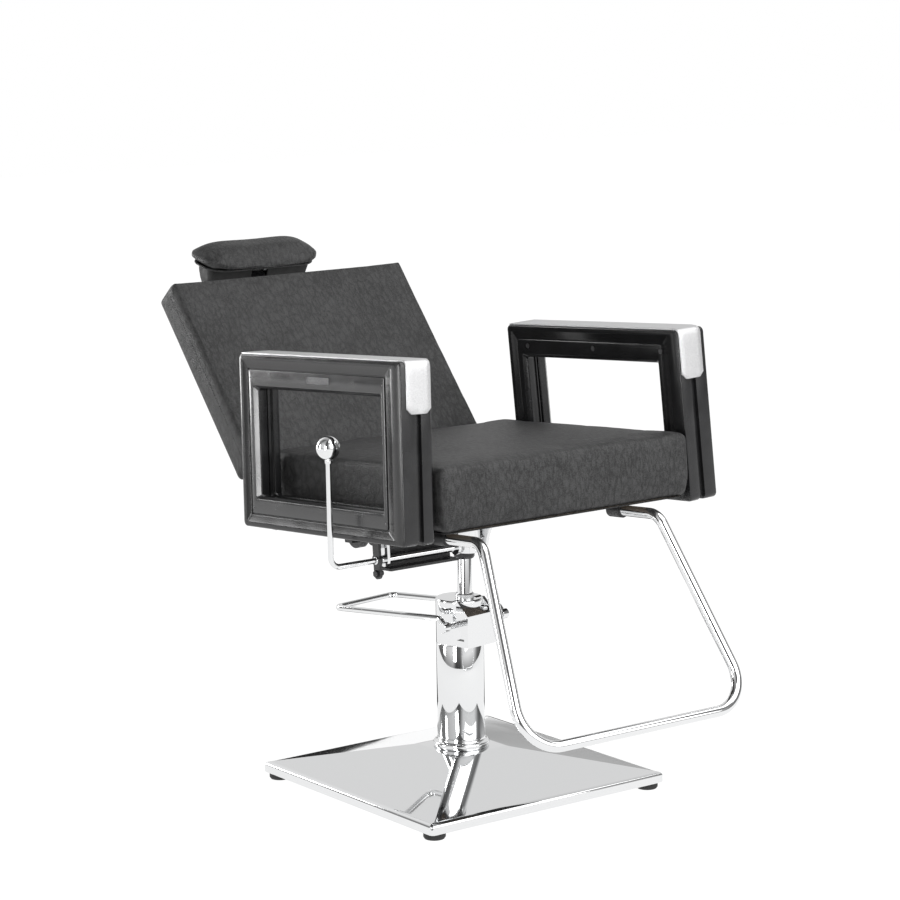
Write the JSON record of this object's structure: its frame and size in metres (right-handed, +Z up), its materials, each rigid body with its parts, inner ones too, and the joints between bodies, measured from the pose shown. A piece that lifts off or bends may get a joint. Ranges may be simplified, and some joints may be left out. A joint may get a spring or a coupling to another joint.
{
  "type": "reclining hydraulic salon chair",
  "caption": "Padded salon chair with open box arms, reclining back, headrest, wire footrest and recline lever on a foot-pumped hydraulic column with a square base.",
  "frame": {"origin": "on the floor, under the middle of the square base and the pump's axis", "axes": "+Z up, -Y the way the sitter faces, +X to the sitter's left; the lever is on the -X side"},
  "size_m": [0.6752, 1.1277, 0.8746],
  "materials": {
    "rubber": "matt",
    "chrome": "polished",
    "steel": "turned",
    "black_metal": "satin black",
    "board": "raw plywood",
    "hide": "embossed black, satin",
    "shell": "satin black",
    "gloss": "glossy black",
    "cap": "satin silver"
  },
  "bodies": {
    "base": {"foot_pads": "rubber", "base_plate": "chrome", "base_ballast": "steel", "base_bolts": "steel", "pump_foot": "chrome", "pump_tube": "chrome", "pump_cap": "chrome", "gland_nut": "steel", "lift_cylinder": "steel", "plunger_barrel": "steel", "pump_head": "chrome", "head_screw": "steel", "plunger_spring": "steel"},
    "pedal": {"pedal_loop": "chrome", "pedal_pins": "steel"},
    "plunger": {"plunger": "steel"},
    "lift": {"piston_rod": "chrome", "piston_head": "steel", "piston_seal": "rubber", "thrust_collar": "black_metal"},
    "seat": {"swivel_hub": "chrome", "swivel_saddle": "chrome", "saddle_bolts": "steel", "seat_frame": "black_metal", "seat_board": "board", "seat_cushion": "hide", "arm_shell_left": "shell", "arm_shell_right": "shell", "arm_liner_left": "shell", "arm_liner_right": "shell", "arm_bezel_left": "gloss", "arm_bezel_right": "gloss", "arm_cap_left": "cap", "arm_cap_right": "cap", "arm_screws": "steel", "name_plate": "cap", "footrest_loop": "chrome", "footrest_sockets": "black_metal", "hinge_plates": "black_metal", "lever_hangers": "chrome", "shaft_channel": "black_metal", "lock_body": "black_metal", "return_spring": "steel"},
    "lever": {"lever_shaft": "chrome", "lever_rod": "chrome", "lever_knob": "chrome", "release_crank": "black_metal"},
    "release": {"release_rod": "steel"},
    "lock": {"lock_rod": "steel"},
    "backrest": {"back_cushion": "hide", "back_panel": "shell", "back_arms": "black_metal", "hinge_pins": "steel", "lock_pin": "steel", "headrest_guide": "black_metal", "guide_knob": "shell"},
    "headrest_stem": {"headrest_post": "chrome"},
    "headrest": {"headrest_box": "shell", "headrest_pin": "steel", "headrest_pad": "hide"}
  },
  "joints": [
    {"name": "lift", "type": "slide", "parent": "base", "child": "lift", "axis": [0, 0, 1], "range_m": [-0.05, 0.09]},
    {"name": "swivel", "type": "hinge", "parent": "lift", "child": "seat", "pos_m": [0, -0.015, 0.42], "axis": [0, 0, 1], "continuous": true},
    {"name": "recline", "type": "hinge", "parent": "seat", "child": "backrest", "pos_m": [0, 0.22337, 0.45652], "axis": [-1, 0, 0], "range_deg": [-26, 20]},
    {"name": "lock_travel", "type": "slide", "parent": "seat", "child": "lock", "axis": [0, -0.9972, 0.075], "range_m": [-0.0105, 0.0085]},
    {"name": "recline_lever", "type": "hinge", "parent": "seat", "child": "lever", "pos_m": [0, -0.12274, 0.43611], "axis": [-1, 0, 0], "range_deg": [0, 28], "stiffness_Nm_per_rad": 1.2, "springref_deg": -20.05},
    {"name": "release_travel", "type": "slide", "parent": "seat", "child": "release", "axis": [0, 0.9972, -0.075], "range_m": [-0.001, 0.0145]},
    {"name": "headrest_height", "type": "slide", "parent": "backrest", "child": "headrest_stem", "axis": [0, 0.6481, 0.7615], "range_m": [-0.025, 0.06]},
    {"name": "headrest_tilt", "type": "hinge", "parent": "headrest_stem", "child": "headrest", "pos_m": [0, 0.60205, 0.81969], "axis": [-1, 0, 0], "range_deg": [-30, 45]},
    {"name": "pedal", "type": "hinge", "parent": "base", "child": "pedal", "pos_m": [0.00473, -0.03367, 0.2845], "axis": [-0.9903, -0.1392, 0], "range_deg": [0, 22], "stiffness_Nm_per_rad": 3, "springref_deg": -28.65},
    {"name": "plunger_travel", "type": "slide", "parent": "base", "child": "plunger", "axis": [0, 0, -1], "range_m": [-0.0005, 0.007], "deforming": ["plunger_spring"]}
  ],
  "couplings": [
    {"joint": "lock_travel", "follows": "recline", "m_per_rad": 0.0217},
    {"joint": "release_travel", "follows": "recline_lever", "m_per_rad": 0.0272},
    {"joint": "plunger_travel", "follows": "pedal", "m_per_rad": 0.0163}
  ]
}
